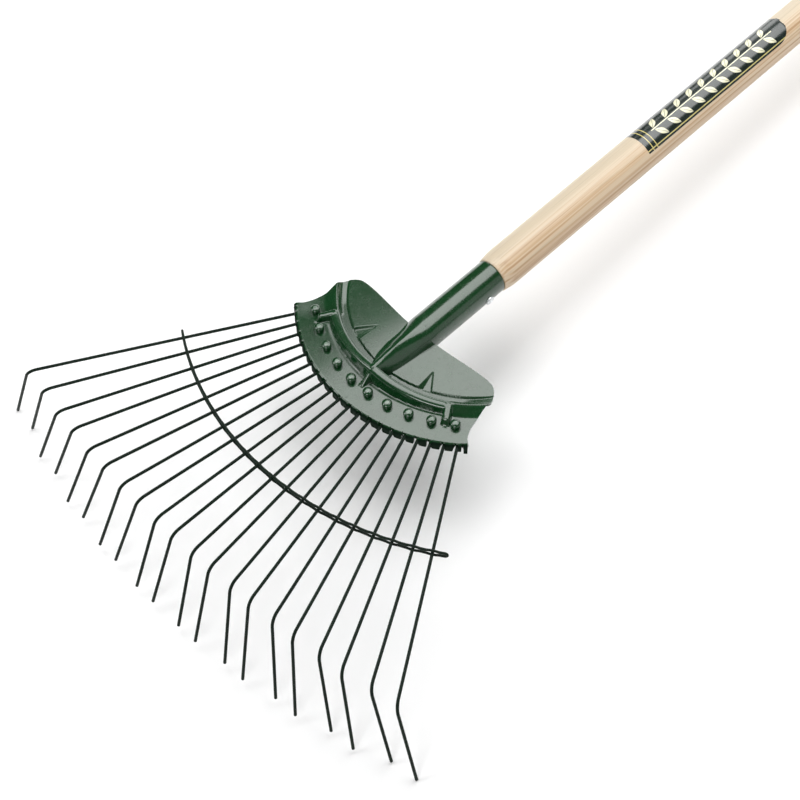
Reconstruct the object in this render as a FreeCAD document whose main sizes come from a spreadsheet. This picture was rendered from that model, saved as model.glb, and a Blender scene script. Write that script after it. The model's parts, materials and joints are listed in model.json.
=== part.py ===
import FreeCAD
import Part
import Sketcher

import math
import os

from FreeCAD import Placement, Rotation, Vector

# Leaf rake with spring wire tines, in millimetres.
#
# Head frame used while building: the origin is the centre of the fan at the height of the wires where
# they leave the lip, +X runs forward to the tines, +Y to the left tine and +Z up. At the end one common
# placement lays the rake down on its outer tines and the butt of its handle, with the origin at the
# bottom centre of its bounding box.

SIZES = {
    # fan
    "pair_total": 10,
    "rivet_circle": 107.6,
    "rivet_pitch": 8.49,
    "pair_spread": 7.03,
    "leg_spread": 1.53,
    "tine_slope": 5.24,
    "wire_bore": 2.4,
    "loop_radius": 4.0,
    "middle_reach": 159.0,
    "outer_reach": 200.0,
    "bend_radius": 9.0,
    "hook_length": 67.0,
    "hook_dive": 71.4,
    "hook_flare": 2.6,
    # pressed head
    "lip_radius": 122.6,
    "sheet_gauge": 1.6,
    "wire_play": 0.1,
    "lip_drop": 4.0,
    "lip_lead": 1.0,
    "slot_width": 3.0,
    "slot_depth": 5.0,
    "flange_rear": 99.0,
    "wall_top": 97.6,
    "crest_front": 96.4,
    "crest_rear": 94.0,
    "crest_height": 13.6,
    "shoulder_height": 11.0,
    "valley_radius": 90.5,
    "web_height": 8.8,
    "plate_middle": 49.4,
    "plate_middle_half": 16.0,
    "plate_rear": 45.1,
    "plate_rear_half": 57.0,
    "wing_front": 57.0,
    "wing_half": 71.4,
    "waist_front": 73.0,
    "waist_half": 73.6,
    "front_corner_angle": 43.3,
    "sector_angle": 112.0,
    "crest_under_drop": 2.6,
    "corner_ease": 3.0,
    # socket and its blend into the crest
    "socket_radius": 12.5,
    "socket_mouth": -18.0,
    "socket_mouth_height": 12.53,
    "socket_tilt": 3.386,
    "socket_length": 68.0,
    "spine_start": 46.0,
    "spine_end": 98.5,
    "spine_end_height": 10.8,
    "spine_end_radius": 4.4,
    # keeper plate and rivets
    "keeper_gauge": 1.2,
    "keeper_rear": 100.5,
    "keeper_front": 119.0,
    "keeper_half_angle": 42.4,
    "shank_radius": 2.7,
    "stub_radius": 3.5,
    "stub_height": 4.4,
    "tail_radius": 4.0,
    "tail_height": 1.4,
    # brace wire
    "brace_bore": 1.8,
    "brace_gap": 2.24,
    "brace_centre": -33.3,
    "brace_radius": 226.6,
    "brace_front_height": -6.52,
    "brace_tilt": 1.0,
    "brace_half_angle": 31.9,
    "brace_loop_run": 8.0,
    "brace_tail_run": 6.0,
    # handle, screw and label
    "handle_radius": 14.25,
    "handle_total": 1370.0,
    "spigot_radius": 10.8,
    "spigot_depth": 60.0,
    "shoulder_length": 12.0,
    "butt_radius": 10.0,
    "screw_from_mouth": 14.8,
    "screw_dip": 10.0,
    "screw_radius": 2.0,
    "screw_length": 17.0,
    "screw_head_radius": 3.4,
    "screw_head_height": 1.6,
    "label_from_mouth": 148.0,
    "label_length": 160.0,
    "label_half_wrap": 68.0,
    "label_turn": -17.0,
    "label_gauge": 0.15,
}

OUTLINE_MARGIN = 10.0
DRILL_LENGTH = 16.0
DRILL_START = 6.0
LEAST_RIM = 20.0

doc = FreeCAD.newDocument("leaf_rake")
sheet = doc.addObject("Spreadsheet::Sheet", "dims")
for row, (name, value) in enumerate(SIZES.items(), start=1):
    sheet.set(f"A{row}", name)
    sheet.set(f"B{row}", str(value))
    sheet.setAlias(f"B{row}", name)
doc.recompute()


class Dim:
    """A number together with the sheet expression that gives it."""

    def __init__(self, value, text):
        self.value = value
        self.text = text

    def __add__(self, other):
        other = as_dim(other)
        return Dim(self.value + other.value, f"({self.text} + {other.text})")

    def __sub__(self, other):
        other = as_dim(other)
        return Dim(self.value - other.value, f"({self.text} - {other.text})")

    def __mul__(self, other):
        other = as_dim(other)
        return Dim(self.value * other.value, f"({self.text} * {other.text})")

    def __truediv__(self, other):
        other = as_dim(other)
        return Dim(self.value / other.value, f"({self.text} / {other.text})")

    def __neg__(self):
        return Dim(-self.value, f"(-{self.text})")


def as_dim(number):
    if isinstance(number, Dim):
        return number
    return Dim(float(number), f"{float(number)}")


def size(name):
    return Dim(float(sheet.get(name)), f"dims.{name}")


def cosine(angle):
    return Dim(math.cos(math.radians(angle.value)), f"cos({angle.text} * 1deg)")


def sine(angle):
    return Dim(math.sin(math.radians(angle.value)), f"sin({angle.text} * 1deg)")


def number(name):
    return size(name).value


def degrees_cos(angle):
    return math.cos(math.radians(angle))


def degrees_sin(angle):
    return math.sin(math.radians(angle))


def degrees_tan(angle):
    return math.tan(math.radians(angle))


def bind(thing, **properties):
    """Bind an object's properties to the sheet."""
    for key, dim in properties.items():
        setattr(thing, key, dim.value)
        thing.setExpression(key, dim.text)


# ---------------------------------------------------------------- sketches and primitives


def new_body(name):
    return doc.addObject("PartDesign::Body", name)


def new_sketch(body, name, role):
    sketch = body.newObject("Sketcher::SketchObject", name)
    plane = [item for item in body.Origin.OriginFeatures if item.Role == role][0]
    sketch.AttachmentSupport = [(plane, "")]
    sketch.MapMode = "FlatFace"
    return sketch


def pin_point(sketch, line, end, across, up):
    """Hold one end of a line at a place that the sheet gives."""
    for kind, dim, axis in (("DistanceX", across, -2), ("DistanceY", up, -1)):
        if dim.value == 0:
            sketch.addConstraint(Sketcher.Constraint("PointOnObject", line, end, axis))
            continue
        index = sketch.addConstraint(Sketcher.Constraint(kind, -1, 1, line, end, dim.value))
        sketch.setExpression(f"Constraints[{index}]", dim.text)


def draw_polygon(sketch, corners):
    """Draw a closed outline whose corners are pairs of sizes."""
    points = [Vector(across.value, up.value, 0) for across, up in corners]
    first = sketch.GeometryCount
    for start, end in zip(points, points[1:] + points[:1]):
        sketch.addGeometry(Part.LineSegment(start, end), False)
    total = len(points)
    for step in range(total):
        after = first + (step + 1) % total
        sketch.addConstraint(Sketcher.Constraint("Coincident", first + step, 2, after, 1))
    for step, (across, up) in enumerate(corners):
        pin_point(sketch, first + step, 1, across, up)


def revolve(body, sketch, name, axis, angle, midplane):
    feature = body.newObject("PartDesign::Revolution", name)
    feature.Profile = sketch
    feature.ReferenceAxis = (sketch, [axis])
    feature.Midplane = midplane
    bind(feature, Angle=angle)
    sketch.Visibility = False
    body.Tip = feature
    return feature


def cylinder(name, radius, height, placement):
    item = doc.addObject("Part::Cylinder", name)
    bind(item, Radius=radius, Height=height)
    item.Placement = placement
    return item


def box(name, length, width, height, placement):
    item = doc.addObject("Part::Box", name)
    bind(item, Length=length, Width=width, Height=height)
    item.Placement = placement
    return item


def fuse(name, shapes):
    item = doc.addObject("Part::MultiFuse", name)
    item.Shapes = shapes
    item.Refine = True
    return item


def compound(name, links):
    item = doc.addObject("Part::Compound", name)
    item.Links = links
    return item


def cut(name, base, tool):
    item = doc.addObject("Part::Cut", name)
    item.Base = base
    item.Tool = tool
    return item


def along(base, direction):
    """A placement whose local Z runs along a direction."""
    return Placement(base, Rotation(Vector(0, 0, 1), direction))


# ---------------------------------------------------------------- shared geometry

slope = number("tine_slope")
wire_radius = number("wire_bore") / 2
pair_total = int(number("pair_total"))
pair_steps = [step - (pair_total - 1) / 2 for step in range(pair_total)]

under_flange = size("wire_bore") / 2 + size("wire_play")
slope_rate = sine(size("tine_slope")) / cosine(size("tine_slope"))


def flange_height(radius):
    """Height of the flange's underside, which lies on the wires, at a radius from the fan's centre."""
    return (size("lip_radius") - radius) * slope_rate + under_flange


def fan_point(radius, angle, height):
    return Vector(radius * degrees_cos(angle), radius * degrees_sin(angle), height)


def flange_normal(angle):
    """Upward normal of the conical flange."""
    lean = degrees_sin(slope)
    return Vector(lean * degrees_cos(angle), lean * degrees_sin(angle), degrees_cos(slope))


def rivet_point(step):
    """Where a rivet's axis crosses the plane of its wire loop."""
    radius = number("rivet_circle")
    rise = (number("lip_radius") - radius) * degrees_tan(slope)
    return fan_point(radius, step * number("rivet_pitch"), rise)


socket_axis = Vector(-degrees_cos(number("socket_tilt")), 0, degrees_sin(number("socket_tilt")))
mouth_centre = Vector(number("socket_mouth"), 0, number("socket_mouth_height"))


def on_handle_axis(distance):
    """A point on the handle's axis, counted backward from the mouth of the socket."""
    return mouth_centre + socket_axis * distance


# ---------------------------------------------------------------- pressed head with its socket


def make_plate():
    """The sheet as one revolved section, trimmed to its outline."""
    body = new_body("plate_body")
    gauge = size("sheet_gauge")
    front = size("lip_radius") + size("lip_lead")
    lip_back = front - gauge
    flange_end = size("flange_rear") - gauge
    rear = size("plate_rear")
    top = [
        (front, flange_height(front) + gauge),
        (size("flange_rear"), flange_height(size("flange_rear")) + gauge),
        (size("wall_top"), size("shoulder_height")),
        (size("crest_front"), size("crest_height")),
        (size("crest_rear"), size("crest_height")),
        (size("valley_radius"), size("web_height")),
        (rear, size("web_height")),
    ]
    bottom = [
        (rear, size("web_height") - gauge),
        (size("valley_radius") - gauge / 2, size("web_height") - gauge),
        (size("crest_rear"), size("crest_height") - size("crest_under_drop")),
        (size("crest_front") - gauge / 2, size("crest_height") - size("crest_under_drop")),
        (flange_end, flange_height(flange_end)),
        (lip_back, flange_height(lip_back)),
        (lip_back, -size("lip_drop")),
        (front, -size("lip_drop")),
    ]
    section = new_sketch(body, "plate_section", "XZ_Plane")
    draw_polygon(section, top + bottom)
    revolve(body, section, "plate_sheet", "V_Axis", size("sector_angle"), True)

    outline = new_sketch(body, "plate_outline", "XY_Plane")
    corner = size("front_corner_angle")
    corner_front = size("lip_radius") * cosine(corner)
    corner_half = size("lip_radius") * sine(corner)
    ahead = size("lip_radius") + OUTLINE_MARGIN
    beyond = corner_half + OUTLINE_MARGIN
    left = [
        (size("plate_middle"), size("plate_middle_half")),
        (rear, size("plate_rear_half")),
        (rear + size("corner_ease"), size("wing_half") - size("corner_ease")),
        (size("wing_front"), size("wing_half")),
        (size("waist_front"), size("waist_half")),
        (corner_front, corner_half),
        (corner_front + OUTLINE_MARGIN, beyond),
        (ahead, beyond),
    ]
    right = [(across, -half) for across, half in reversed(left)]
    draw_polygon(outline, left + right)
    far = size("lip_radius") + OUTLINE_MARGIN * 4
    draw_polygon(outline, [(far, far), (-far, far), (-far, -far), (far, -far)])
    trim = body.newObject("PartDesign::Pocket", "plate_trim")
    trim.Profile = outline
    trim.Type = 1
    trim.Midplane = True
    outline.Visibility = False
    body.Tip = trim
    return body


def slot_tools():
    """Openings in the folded lip, one for each tine."""
    tools = []
    depth = size("slot_depth")
    height = size("lip_drop") + under_flange
    for index, step in enumerate(pair_steps, start=1):
        for side, name in ((-1, "right"), (1, "left")):
            plan = step * number("pair_spread") + side * number("leg_spread")
            turn = Rotation(Vector(0, 0, 1), plan)
            offset = Vector(-depth.value / 2, -number("slot_width") / 2, 0)
            corner = lip_crossing(step, side) + turn.multVec(offset)
            corner.z = -number("lip_drop")
            place = Placement(corner, turn)
            tools.append(box(f"lip_slot_{index:02d}_{name}", depth, size("slot_width"), height, place))
    return tools


def rivet_hole_tools(name, radius):
    tools = []
    for index, step in enumerate(pair_steps, start=1):
        normal = flange_normal(step * number("rivet_pitch"))
        base = rivet_point(step) - normal * DRILL_START
        place = along(base, normal)
        tools.append(cylinder(f"{name}_{index:02d}", radius, as_dim(DRILL_LENGTH), place))
    return tools


def make_head():
    plate = make_plate()
    mouth_side = along(mouth_centre, -socket_axis)
    tube = cylinder("socket_tube", size("socket_radius"), size("socket_length"), mouth_side)
    run = number("spine_start") - number("socket_mouth")
    spine_base = on_handle_axis(-run / degrees_cos(number("socket_tilt")))
    spine_tip = Vector(number("spine_end"), 0, number("spine_end_height"))
    spine = doc.addObject("Part::Cone", "spine_outside")
    spine.Placement = along(spine_base, spine_tip - spine_base)
    bind(spine, Radius1=size("socket_radius"), Radius2=size("spine_end_radius"))
    spine.Height = (spine_tip - spine_base).Length
    outside = fuse("head_outside", [plate, tube, spine])

    gauge = size("sheet_gauge")
    bore = cylinder("socket_bore", size("socket_radius") - gauge, size("socket_length"), mouth_side)
    hollow = doc.addObject("Part::Cone", "spine_hollow")
    hollow.Placement = along(spine_base, spine_tip - spine_base)
    bind(hollow, Radius1=size("socket_radius") - gauge, Radius2=size("spine_end_radius") - gauge)
    hollow.Height = (spine_tip - spine_base).Length - gauge.value
    deep = size("socket_radius") * 2
    under_start = size("spine_start") + gauge
    under_corner = Vector(under_start.value, -deep.value / 2, 0)
    under_corner.z = number("web_height") - gauge.value - deep.value
    under_run = size("crest_rear") - under_start
    under = box("spine_underside", under_run, deep, deep, Placement(under_corner, Rotation()))
    screw_hole = cylinder("screw_hole", size("screw_radius"), deep / 2, screw_placement(0))
    tools = [bore, hollow, under, screw_hole]
    tools += slot_tools()
    tools += rivet_hole_tools("flange_hole", size("shank_radius"))
    return cut("head_pressing", outside, compound("head_openings", tools))


# ---------------------------------------------------------------- keeper plate and rivets


def make_keeper():
    """Curved strip that holds the wire loops against the flange."""
    body = new_body("keeper_body")
    section = new_sketch(body, "keeper_section", "XZ_Plane")
    rear = size("keeper_rear")
    front = size("keeper_front")
    down = under_flange * 2
    gauge = size("keeper_gauge")
    corners = [
        (front, flange_height(front) - down),
        (rear, flange_height(rear) - down),
        (rear, flange_height(rear) - down - gauge),
        (front, flange_height(front) - down - gauge),
    ]
    draw_polygon(section, corners)
    revolve(body, section, "keeper_strip", "V_Axis", size("keeper_half_angle") * 2, True)
    holes = compound("keeper_holes", rivet_hole_tools("keeper_hole", size("shank_radius")))
    return cut("keeper_plate", body, holes)


def make_rivets():
    """Ten rivets: a stub above the flange, a shank through the loop and a peened tail."""
    rivets = []
    top = under_flange + size("sheet_gauge")
    bottom = under_flange + size("keeper_gauge")
    for index, step in enumerate(pair_steps, start=1):
        normal = flange_normal(step * number("rivet_pitch"))
        centre = rivet_point(step)
        stub = cylinder(
            f"rivet_stub_{index:02d}",
            size("stub_radius"),
            size("stub_height"),
            along(centre + normal * top.value, normal),
        )
        shank = cylinder(
            f"rivet_shank_{index:02d}",
            size("shank_radius"),
            top + bottom,
            along(centre - normal * bottom.value, normal),
        )
        tail = cylinder(
            f"rivet_tail_{index:02d}",
            size("tail_radius"),
            size("tail_height"),
            along(centre - normal * (bottom.value + number("tail_height")), normal),
        )
        rivets.append(fuse(f"rivet_{index:02d}", [stub, shank, tail]))
    return compound("tine_rivets", rivets)


# ---------------------------------------------------------------- wires


def rounded_path(points, radii):
    """Straight runs joined by tangent arcs; radii holds one radius for each inner point."""
    edges = []
    start = points[0]
    for before, corner, after, radius in zip(points, points[1:], points[2:], radii):
        inward = (before - corner).normalize()
        outward = (after - corner).normalize()
        half_turn = (math.pi - inward.getAngle(outward)) / 2
        setback = radius * math.tan(half_turn)
        first = corner + inward * setback
        last = corner + outward * setback
        middle_line = (inward + outward).normalize()
        centre = corner + middle_line * math.hypot(radius, setback)
        edges.append(Part.LineSegment(start, first).toShape())
        edges.append(Part.Arc(first, centre - middle_line * radius, last).toShape())
        start = last
    edges.append(Part.LineSegment(start, points[-1]).toShape())
    return edges


def sweep(name, edges, radius):
    """Sweep a round wire along a path of tangent edges."""
    path = doc.addObject("Part::Feature", name + "_path")
    path.Shape = Part.Wire(edges)
    ring = doc.addObject("Part::Circle", name + "_section")
    bind(ring, Radius=radius)
    first = edges[0]
    start = first.valueAt(first.FirstParameter)
    ring.Placement = along(start, first.tangentAt(first.FirstParameter))
    wire = doc.addObject("Part::Sweep", name)
    wire.Sections = [ring]
    wire.Spine = (path, [f"Edge{index}" for index in range(1, len(edges) + 1)])
    wire.Solid = True
    wire.Frenet = False
    return wire


def tine_corners(step, side):
    """Tip, bend and loop tangent point of one leg of a hairpin; side is -1 or +1."""
    plan = step * number("pair_spread") + side * number("leg_spread")
    down = degrees_cos(slope)
    leg = Vector(down * degrees_cos(plan), down * degrees_sin(plan), -degrees_sin(slope))
    pair_plan = step * number("pair_spread")
    across = Vector(-degrees_sin(pair_plan), degrees_cos(pair_plan), 0)
    centre = rivet_point(step)
    lead = (leg - across * leg.dot(across)).normalize()
    lean = math.atan2(abs(leg.dot(across)), leg.dot(lead))
    radius = number("loop_radius")
    tangent = centre + across * (side * radius * math.cos(lean)) - lead * (radius * math.sin(lean))
    share = (2 * step + side / 2) / (pair_total - 0.5)
    stretch = number("outer_reach") - number("middle_reach")
    bend = tangent + leg * (number("middle_reach") + stretch * share * share)
    flare = pair_plan * number("hook_flare")
    dive = number("hook_dive")
    hook = Vector(
        degrees_cos(dive) * degrees_cos(flare),
        degrees_cos(dive) * degrees_sin(flare),
        -degrees_sin(dive),
    )
    tip = bend + hook * number("hook_length")
    rear = centre - lead * radius
    return tip, bend, tangent, rear


def lip_crossing(step, side):
    """Where one leg passes the middle of the folded lip."""
    _, bend, tangent, _ = tine_corners(step, side)
    leg = (bend - tangent).normalize()
    radius = number("lip_radius") + number("lip_lead") - number("sheet_gauge") / 2
    level = leg.x * leg.x + leg.y * leg.y
    toward = tangent.x * leg.x + tangent.y * leg.y
    short = tangent.x * tangent.x + tangent.y * tangent.y - radius * radius
    return tangent + leg * ((math.sqrt(toward * toward - level * short) - toward) / level)


def make_tine_pair(index, step):
    """One hairpin: two hooked tines joined by a loop round the rivet."""
    right_tip, right_bend, right_tangent, rear = tine_corners(step, -1)
    left_tip, left_bend, left_tangent, _ = tine_corners(step, 1)
    radius = number("bend_radius")
    right = rounded_path([right_tip, right_bend, right_tangent], [radius])
    left = rounded_path([left_tangent, left_bend, left_tip], [radius])
    loop = Part.Arc(right_tangent, rear, left_tangent).toShape()
    return sweep(f"tine_pair_{index:02d}", right + [loop] + left, size("wire_bore") / 2)


def make_brace():
    """Two strands, above and below the tines, closed by a loop on the left."""
    radius = number("brace_radius")
    half = number("brace_half_angle")
    tail = math.degrees(number("brace_tail_run") / radius)
    lead = math.degrees(number("brace_loop_run") / radius)
    gap = number("brace_gap")
    tilt = Rotation(Vector(0, 1, 0), -number("brace_tilt"))
    centre = Vector(number("brace_centre"), 0, 0)
    front = Vector(radius, 0, 0)
    lift = Vector(0, 0, number("brace_front_height")) - tilt.multVec(front) + front

    def place(angle, height):
        flat = Vector(radius * degrees_cos(angle), radius * degrees_sin(angle), height)
        return centre + lift + tilt.multVec(flat)

    first = -half - tail
    last = half + lead
    tangent = Vector(-degrees_sin(last), degrees_cos(last), 0)
    upper = Part.Arc(place(first, gap), place(0, gap), place(last, gap)).toShape()
    lower = Part.Arc(place(last, -gap), place(0, -gap), place(first, -gap)).toShape()
    far = place(last, 0) + tilt.multVec(tangent * gap)
    loop = Part.Arc(place(last, gap), far, place(last, -gap)).toShape()
    return sweep("brace_wire", [upper, loop, lower], size("brace_bore") / 2)


# ---------------------------------------------------------------- handle, screw and label


def screw_placement(offset):
    """Along the screw's axis, from just below the left side of the socket inward."""
    outward = Rotation(socket_axis, number("screw_dip")).multVec(Vector(0, 1, 0))
    seat = on_handle_axis(number("screw_from_mouth") * -1)
    return along(seat + outward * (number("socket_radius") + offset), -outward)


def make_handle():
    """Turned ash pole, built on its own axis and then laid along the socket."""
    body = new_body("handle_body")
    section = new_sketch(body, "handle_section", "XZ_Plane")
    zero = as_dim(0)
    radius = size("handle_radius")
    total = size("handle_total") - size("spigot_depth")
    start = size("label_from_mouth")
    end = start + size("label_length")
    corners = [
        (zero, -size("spigot_depth")),
        (size("spigot_radius"), -size("spigot_depth")),
        (size("spigot_radius"), zero),
        (size("socket_radius"), zero),
        (radius, size("shoulder_length")),
        (radius, total),
        (zero, total),
    ]
    draw_polygon(section, corners)
    pole = revolve(body, section, "handle_pole", "V_Axis", as_dim(360), False)
    doc.recompute()
    rim = [f"Edge{n}" for n, edge in enumerate(pole.Shape.Edges, 1) if is_butt_rim(edge, total.value)]
    butt = body.newObject("PartDesign::Fillet", "handle_butt")
    butt.Base = (pole, rim)
    bind(butt, Radius=size("butt_radius"))
    body.Tip = butt

    recess = new_sketch(body, "label_recess_section", "XZ_Plane")
    floor = radius - size("label_gauge")
    draw_polygon(recess, [(floor, start), (radius + 1, start), (radius + 1, end), (floor, end)])
    groove = body.newObject("PartDesign::Groove", "label_recess")
    groove.Profile = recess
    groove.ReferenceAxis = (recess, ["V_Axis"])
    groove.Midplane = True
    bind(groove, Angle=size("label_half_wrap") * 2)
    recess.Visibility = False
    body.Tip = groove
    body.Placement = handle_placement()
    pilot = cylinder("screw_pilot", size("screw_radius"), size("screw_length"), screw_placement(0))
    return cut("handle", body, pilot)


def is_butt_rim(edge, height):
    at_butt = all(abs(vertex.Point.z - height) < 0.01 for vertex in edge.Vertexes)
    return at_butt and edge.Length > LEAST_RIM


def handle_placement():
    """Local Z runs back along the handle and local X points up, but for the label's turn to the right."""
    across = Vector(0, 1, 0)
    up = across.cross(socket_axis)
    if up.z < 0:
        up = -up
    turn = Rotation(up, socket_axis.cross(up), socket_axis, "XZY")
    label_turn = Rotation(Vector(0, 0, 1), number("label_turn"))
    return Placement(mouth_centre, turn.multiply(label_turn))


def make_label():
    body = new_body("handle_label")
    section = new_sketch(body, "label_section", "XZ_Plane")
    start = size("label_from_mouth")
    end = start + size("label_length")
    radius = size("handle_radius")
    floor = radius - size("label_gauge")
    draw_polygon(section, [(floor, start), (radius, start), (radius, end), (floor, end)])
    revolve(body, section, "label_film", "V_Axis", size("label_half_wrap") * 2, True)
    body.Placement = handle_placement()
    return body


def make_screw():
    head_base = screw_placement(number("screw_head_height"))
    head = cylinder("screw_head", size("screw_head_radius"), size("screw_head_height"), head_base)
    shank = cylinder("screw_shank", size("screw_radius"), size("screw_length"), screw_placement(0))
    return fuse("socket_screw", [head, shank])


# ---------------------------------------------------------------- build and write

nodes = [make_head(), make_keeper(), make_rivets()]
for index, step in enumerate(pair_steps, start=1):
    nodes.append(make_tine_pair(index, step))
nodes += [make_brace(), make_handle(), make_screw(), make_label()]
doc.recompute()


def lying_placement(shapes):
    """Lay the rake on its outer tine tips and the butt of its handle, origin at the bottom centre."""
    tip = tine_corners(pair_steps[-1], 1)[0]
    butt = on_handle_axis(number("handle_total") - number("spigot_depth") - number("butt_radius"))
    rise = butt.z - number("handle_radius") - tip.z + wire_radius * degrees_cos(number("hook_dive"))
    run = tip.x - butt.x
    pitch = Rotation(Vector(0, 1, 0), -math.degrees(math.atan2(rise, run)))
    turned = Part.makeCompound(list(shapes.values()))
    turned.Placement = Placement(Vector(), pitch)
    bounds = turned.BoundBox
    centre = Vector((bounds.XMin + bounds.XMax) / 2, (bounds.YMin + bounds.YMax) / 2, bounds.ZMin)
    return Placement(-centre, pitch)


for item in doc.Objects:
    if "Invalid" in item.State or "Error" in item.State:
        raise RuntimeError(f"{item.Label} failed: {item.State}")

shapes = {node.Name: node.Shape for node in nodes}
lying = lying_placement(shapes)
for node in nodes:
    node.Label = node.Name
    node.Placement = lying.multiply(node.Placement)
doc.recompute()

os.makedirs("parts", exist_ok=True)
for node in nodes:
    shape = node.Shape
    if shape.isNull() or not shape.isValid():
        raise RuntimeError(f"{node.Label} has no valid shape")
    shape.exportStep(os.path.join("parts", node.Label + ".step"))
    print(node.Label, len(shape.Solids), round(shape.Volume, 1))
print("placement", lying)
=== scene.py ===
import json
import math

import bmesh
import bpy
import numpy as np
from mathutils import Matrix, Vector


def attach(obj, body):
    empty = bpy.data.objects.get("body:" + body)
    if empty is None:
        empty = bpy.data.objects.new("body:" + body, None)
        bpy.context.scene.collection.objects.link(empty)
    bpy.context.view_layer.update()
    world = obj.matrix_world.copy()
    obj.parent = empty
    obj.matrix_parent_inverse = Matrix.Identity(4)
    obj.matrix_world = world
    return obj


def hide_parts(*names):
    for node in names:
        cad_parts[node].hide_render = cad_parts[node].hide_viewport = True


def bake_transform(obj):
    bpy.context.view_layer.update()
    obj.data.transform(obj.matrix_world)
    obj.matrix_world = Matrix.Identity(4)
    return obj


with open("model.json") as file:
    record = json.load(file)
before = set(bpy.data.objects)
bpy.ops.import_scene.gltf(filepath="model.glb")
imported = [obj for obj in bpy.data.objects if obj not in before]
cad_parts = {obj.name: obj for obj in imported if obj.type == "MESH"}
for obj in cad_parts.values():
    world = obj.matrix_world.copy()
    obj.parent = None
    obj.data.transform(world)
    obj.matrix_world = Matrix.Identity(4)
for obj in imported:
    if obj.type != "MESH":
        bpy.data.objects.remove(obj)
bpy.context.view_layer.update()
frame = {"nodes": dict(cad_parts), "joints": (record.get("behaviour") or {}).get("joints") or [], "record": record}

# Leaf rake with spring wire tines. Shapes are worked out in millimetres in the head frame: origin at the
# centre of the fan at wire height, +X forward to the tines, +Y left, +Z up. The joint and the pole mount
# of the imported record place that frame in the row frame.

MM = 0.001

# fan
PAIRS = 10
RIVET_CIRCLE = 107.6
RIVET_PITCH = math.radians(8.49)
PAIR_SPREAD = math.radians(7.03)
LEG_SPREAD = math.radians(1.53)
TINE_SLOPE = math.radians(5.24)
WIRE_RADIUS = 1.2
LOOP_RADIUS = 4.0
MIDDLE_REACH = 159.0
OUTER_REACH = 200.0
BEND_RADIUS = 9.0
HOOK_LENGTH = 67.0
HOOK_DIVE = math.radians(71.4)
HOOK_FLARE = 2.6

# pressed head
LIP_RADIUS = 122.6
SHEET = 1.6
WIRE_PLAY = 0.1
FLANGE_TOP = WIRE_RADIUS + WIRE_PLAY + SHEET
CORNER_ANGLE = math.radians(43.3)
HINGE_FORWARD = 130.0
HINGE_HEIGHT = -0.7

# socket
SOCKET_RADIUS = 12.5
SOCKET_RUN = 69.6
SOCKET_TILT = math.radians(3.386)
SOCKET_AXIS = Vector((-math.cos(SOCKET_TILT), 0, math.sin(SOCKET_TILT)))
SEAM_HALF_GAP = math.radians(2.6)
MOUTH = Vector((-18.0, 0.0, 12.53))

# rivets
SHANK_RADIUS = 2.7
STUB_RADIUS = 3.5
STUB_HEIGHT = 4.82
# stub faces above this height take the painted highlight
HIGHLIGHT_FROM = 4.75

# handle and screw
HANDLE_RADIUS = 14.25
HANDLE_TOTAL = 1370.0
SPIGOT_DEPTH = 60.0
SPIGOT_RADIUS = 10.8
SHOULDER = 12.0
SHOULDER_RADIUS = 13.2
BUTT_RADIUS = 10.0
SCREW_FROM_MOUTH = 14.8
SCREW_DIP = math.radians(10.0)
SCREW_RADIUS = 3.45
RECESS_RADIUS = 1.9
RECESS_HALF_WIDTH = 0.5
RECESS_DEPTH = 0.9

# transfer label
LABEL_FROM_MOUTH = 148.0
LABEL_LENGTH = 156.0
LABEL_HALF_WRAP = math.radians(68.0)
LABEL_TURN = math.radians(17.0)
LABEL_ROUND = 17.0
LABEL_PROUD = 0.06
LABEL_FILM = 0.2
LABEL_ROWS = 121
LABEL_COLUMNS = 61

# brace wire
BRACE_WIRE = 0.9
BRACE_GAP = 2.24
BRACE_CENTRE = -33.3
BRACE_RADIUS = 226.6
BRACE_FRONT_HEIGHT = -6.52
BRACE_TILT = math.radians(1.0)


# ---------------------------------------------------------------- placing the head frame


def head_to_row():
    """Matrix from the head frame in millimetres to the row frame in metres."""
    joint = frame["joints"][0]
    pole = frame["record"]["mounts"][0]["axis"]
    descent = math.atan2(-pole[2], -pole[0])
    pitch = Matrix.Rotation(-(descent + SOCKET_TILT), 4, "Y")
    hinge = pitch @ Vector((HINGE_FORWARD, 0, HINGE_HEIGHT)) * MM
    place = Matrix.Translation(Vector(joint["pos_m"]) - hinge)
    return place @ pitch @ Matrix.Scale(MM, 4)


TO_ROW = head_to_row()
TO_ROW_ARRAY = np.array(TO_ROW)


def to_row(points):
    """Many head-frame points, in millimetres, as row-frame points in metres."""
    points = np.asarray(points, float)
    return points @ TO_ROW_ARRAY[:3, :3].T + TO_ROW_ARRAY[:3, 3]


# ---------------------------------------------------------------- mesh helpers


def make_object(name, points, faces, material, smooth_angle):
    """An object from head-frame points, with edges sharper than smooth_angle, in degrees, kept crisp."""
    mesh = bpy.data.meshes.new(name)
    mesh.from_pydata([tuple(p) for p in to_row(points)], [], faces)
    mesh.validate()
    piece = bpy.data.objects.new(name, mesh)
    bpy.context.scene.collection.objects.link(piece)
    mesh.materials.append(material)
    build = bmesh.new()
    build.from_mesh(mesh)
    bmesh.ops.recalc_face_normals(build, faces=build.faces)
    build.to_mesh(mesh)
    build.free()
    mesh.shade_smooth()
    mesh.set_sharp_from_angle(angle=math.radians(smooth_angle))
    return piece


def grid_faces(rows, columns, first=0, close_columns=False):
    """Quads over a grid of points stored row by row."""
    faces = []
    for i in range(rows - 1):
        for j in range(columns if close_columns else columns - 1):
            a = first + i * columns + j
            b = first + i * columns + (j + 1) % columns
            faces.append((a, b, b + columns, a + columns))
    return faces


def outline(rows, columns):
    """Indices of a grid's border points, in order round it."""
    ring = [*range(columns), *range(2 * columns - 1, rows * columns, columns)]
    ring += range(rows * columns - 2, (rows - 1) * columns - 1, -1)
    return ring + list(range((rows - 2) * columns, 0, -columns))


def unit(vector):
    return vector / np.linalg.norm(vector)


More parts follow.
